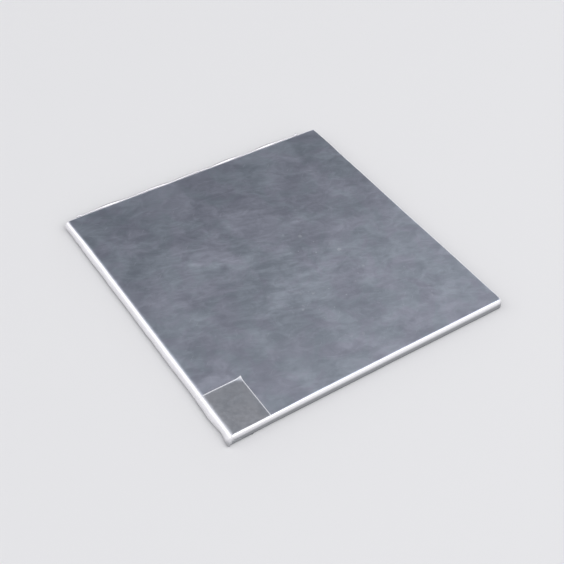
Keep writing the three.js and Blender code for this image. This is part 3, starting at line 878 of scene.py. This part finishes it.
def patch_look(name, colour, deeper, lit_wall_and_bare_foil, glint_and_speck_colour):
    """Smooth tape, flatter in tone than the film, with pale specks, and a pale band along its cut edges
    and at its lifted corner, a painted glint.
    """
    look = Look(name)
    tone = look.mix(look.band(look.noise(9, 5, 0.6, 0.4), 0.35, 0.68), colour, deeper)
    # pale specks of dust on the tape, in the same pale colour as the painted glint
    tone = look.mix(look.math("MULTIPLY", look.specks(6.0, 0.3), 0.4), tone, glint_and_speck_colour)
    parts = look.node("ShaderNodeSeparateXYZ", None, {"Vector": look.place}).outputs
    # painted highlight: a pale band along the cut edges stands in for their glint
    edge = look.math("MAXIMUM", look.band(parts["X"], PATCH_RIGHT - 0.35, PATCH_RIGHT - 0.1),
                     look.band(parts["Y"], PATCH_BACK - 0.35, PATCH_BACK - 0.1))
    # painted highlight at the lifted corner
    apex_glint = look.near((PATCH_RIGHT, PATCH_BACK, TOP + 0.5), 0.4, 1.6)
    edge = look.math("MAXIMUM", edge, look.math("MULTIPLY", apex_glint, 0.9))
    # the pale band is the painted glint; where the patch wraps over the walls it also takes their
    # painted highlight and shade
    look.set("Base Color", look.mix(edge, painted_wall_light(look, tone, lit_wall_and_bare_foil), glint_and_speck_colour))
    look.set("Roughness", look.band(look.noise(1.5, 3, 0.6), 0.3, 0.7, 0.30, 0.40))
    look.set("Metallic", look.band(edge, 0, 1, 0.88, 0.45))
    look.bumps((look.noise(0.5, 3, 0.6), 0.005), (look.noise(5, 3, 0.5), 0.025))
    return look.material


def tape_look(name, colour, deeper):
    """Plastic film tape, with a slight sheen."""
    look = Look(name)
    look.set("Base Color", look.mix(look.band(look.noise(6, 4, 0.6), 0.3, 0.7), colour, deeper))
    look.set("Roughness", look.band(look.noise(1.5, 3, 0.6), 0.3, 0.7, 0.25, 0.38))
    look.bumps((look.noise(0.6, 3, 0.5), 0.006), (look.noise(3.5, 2, 0.5), 0.02))
    return look.material


def metal_look(name, colour, deeper, rough):
    """Rolled strip: fine lines along X, a little staining."""
    look = Look(name, Metallic=1.0)
    lines = look.noise(0.5, 4, 0.6, 0.0, look.turned(0, (0.03, 1.0, 1.0)))
    stain = look.band(look.noise(8, 5, 0.6, 0.5), 0.45, 0.7)
    look.set("Base Color", look.mix(stain, colour, deeper))
    spread = look.math("ADD", look.band(lines, 0.3, 0.7, rough - 0.06, rough + 0.08),
                       look.math("MULTIPLY", stain, 0.08))
    look.set("Roughness", spread)
    look.bumps((lines, 0.004), (look.noise(5, 2, 0.5), 0.02))
    return look.material


def electrode_look(name, coating, foil, edge):
    """Matt coating up to the sheet's edge, then bare foil."""
    look = Look(name)
    parts = look.node("ShaderNodeSeparateXYZ", None, {"Vector": look.place})
    lit_wall_and_bare_foil = look.band(parts.outputs["X"], edge - 0.05, edge + 0.05)
    grain = look.noise(0.25, 4, 0.7)
    coat = look.mix(grain, coating, tuple(1.6 * c for c in coating[:3]) + (1.0,))
    look.set("Base Color", look.mix(lit_wall_and_bare_foil, coat, foil))
    look.set("Metallic", lit_wall_and_bare_foil)
    look.set("Roughness", look.band(lit_wall_and_bare_foil, 0, 1, 0.85, 0.3))
    look.bumps((grain, 0.004))
    return look.material


def plain_look(name, colour, deeper, rough, size):
    """A plain plastic, uneven over about size millimetres."""
    look = Look(name)
    look.set("Base Color", look.mix(look.band(look.noise(size, 4, 0.6), 0.3, 0.7), colour, deeper))
    look.set("Roughness", look.band(look.noise(size / 3, 3, 0.6), 0.3, 0.7, rough, rough + 0.1))
    look.bumps((look.noise(size / 8, 3, 0.6), 0.005))
    return look.material


LOOKS = {
    # the third colour of each laminate and the fourth of the patch are the walls' bright colour, a
    # painted highlight; the patch's last colour is its pale specks and its painted edge glint
    "laminate_upper": laminate_look(
        "laminate_upper", rgb(0.37, 0.413, 0.50), rgb(0.76, 0.81, 0.925), LIT_WALL_COLOUR, 1.0),
    "laminate_lower": laminate_look(
        "laminate_lower", rgb(0.52, 0.55, 0.60), rgb(0.70, 0.73, 0.78), rgb(0.78, 0.79, 0.81), 0.7),
    "patch_tape": patch_look(
        "patch_tape", rgb(0.575, 0.605, 0.665), rgb(0.655, 0.675, 0.73), LIT_WALL_COLOUR,
        rgb(0.92, 0.92, 0.93)),
    "rim_tape": tape_look("rim_tape", rgb(0.62, 0.30, 0.05), rgb(0.50, 0.21, 0.03)),
    "stack_tape": tape_look("stack_tape", rgb(0.04, 0.16, 0.42), rgb(0.03, 0.12, 0.34)),
    "weld_tape": tape_look("weld_tape", rgb(0.05, 0.30, 0.14), rgb(0.04, 0.24, 0.11)),
    "sealant": plain_look("sealant", rgb(0.78, 0.79, 0.74), rgb(0.70, 0.71, 0.66), 0.4, 3.0),
    "tab_aluminium": metal_look("tab_aluminium", rgb(0.86, 0.87, 0.88), rgb(0.74, 0.75, 0.77), 0.28),
    "tab_nickel": metal_look("tab_nickel", rgb(0.74, 0.70, 0.63), rgb(0.62, 0.58, 0.52), 0.22),
    "cathode": electrode_look("cathode", rgb(0.022, 0.022, 0.025), rgb(0.86, 0.87, 0.88), CATHODE_EDGE),
    "anode": electrode_look("anode", rgb(0.030, 0.028, 0.026), rgb(0.78, 0.44, 0.30), ANODE_EDGE),
    "separator": plain_look("separator", rgb(0.86, 0.86, 0.85), rgb(0.80, 0.80, 0.79), 0.6, 4.0),
}


def paint(piece, material):
    piece.data.materials.clear()
    piece.data.materials.append(material)


node_slots = {part["node"]: part["material_slot"] for part in frame["record"]["subparts"]}
for name, node in frame["nodes"].items():
    paint(node, LOOKS[node_slots[name]])
paint(film, LOOKS["laminate_upper"])
paint(cover, LOOKS["laminate_lower"])
paint(patch, LOOKS["patch_tape"])
for piece in rim_tapes:
    paint(piece, LOOKS["rim_tape"])

# ------------------------------------------------------------------ the stage
FLOOR_RADIUS = 5000.0
FLOOR_SIDES = 96
FLOOR_LEVEL = -0.02

floor_mesh = bpy.data.meshes.new("floor")
turns = [2 * math.pi * side / FLOOR_SIDES for side in range(FLOOR_SIDES)]
floor_mesh.from_pydata(
    [Vector((FLOOR_RADIUS * math.cos(a), FLOOR_RADIUS * math.sin(a), FLOOR_LEVEL)) * MM for a in turns],
    [], [tuple(range(FLOOR_SIDES))])
floor = bpy.data.objects.new("floor", floor_mesh)
bpy.context.scene.collection.objects.link(floor)
floor_look = Look("floor_look", Base_Color=rgb(0.82, 0.82, 0.825), Roughness=0.7)
paint(floor, floor_look.material)

# ------------------------------------------------------------------ camera, at the photograph's angle
TARGET = Vector((-4.2, -9.9, 0.06)) * MM
AZIMUTH, ELEVATION, ROLL = math.radians(-35.51), math.radians(44.82), math.radians(2.81)
DISTANCE = 492.2 * MM

camera_data = bpy.data.cameras.new("camera")
camera_data.lens = 65.5
camera_data.sensor_width = 36
camera_data.clip_start = 0.01
camera = bpy.data.objects.new("camera", camera_data)
bpy.context.scene.collection.objects.link(camera)
towards = Vector((
    math.sin(AZIMUTH) * math.cos(ELEVATION),
    -math.cos(AZIMUTH) * math.cos(ELEVATION),
    math.sin(ELEVATION),
))
turn = (-towards).to_track_quat("-Z", "Y") @ Quaternion((0, 0, 1), ROLL)
camera.matrix_world = Matrix.LocRotScale(TARGET + towards * DISTANCE, turn, None)
bpy.context.scene.camera = camera


# ------------------------------------------------------------------ light
CARD = (0.41, 0.58, 0.705)  # the direction of the dark card's middle
CARD_EDGES = (math.cos(math.radians(48)), math.cos(math.radians(20)))  # where it fades
TENT_AND_CARD = (0.88, 0.195)  # their brightness
LIGHT_DISTANCE = 3.0  # metres, from the cell's middle


def area_light(name, direction, size, power):
    """A soft rectangular light that faces the cell. size is in metres, power in watts."""
    light = bpy.data.lights.new(name, "AREA")
    light.shape = "RECTANGLE"
    light.size, light.size_y = size
    light.energy = power
    lamp = bpy.data.objects.new(name, light)
    bpy.context.scene.collection.objects.link(lamp)
    place = Vector(direction).normalized() * LIGHT_DISTANCE
    lamp.matrix_world = Matrix.LocRotScale(place, place.to_track_quat("Z", "Y"), None)
    lamp.visible_camera = False


area_light("key", (0.42, -0.56, 0.70), (2.6, 2.0), 28.0)
area_light("rim", (0.66, 0.72, 0.17), (3.4, 0.7), 8.0)
area_light("left", (-0.62, 0.56, 0.52), (1.8, 1.4), 8.0)

# the room: a pale tent, with a soft dark card up behind the right of the cell, which its top reflects
world = bpy.data.worlds.new("world")
bpy.context.scene.world = world
world.use_nodes = True
sky, links = world.node_tree.nodes, world.node_tree.links
facing = sky.new("ShaderNodeVectorMath")
facing.operation = "DOT_PRODUCT"
facing.inputs[1].default_value = Vector(CARD).normalized()
links.new(sky.new("ShaderNodeTexCoord").outputs["Generated"], facing.inputs[0])
card = sky.new("ShaderNodeMapRange")
card.interpolation_type = "SMOOTHSTEP"
for socket, value in zip(("From Min", "From Max", "To Min", "To Max"), (*CARD_EDGES, *TENT_AND_CARD)):
    card.inputs[socket].default_value = value
links.new(facing.outputs["Value"], card.inputs["Value"])
links.new(card.outputs["Result"], sky["Background"].inputs["Strength"])
sky["Background"].inputs["Color"].default_value = (1, 1, 1.03, 1)
bpy.context.scene.view_settings.view_transform = "Standard"
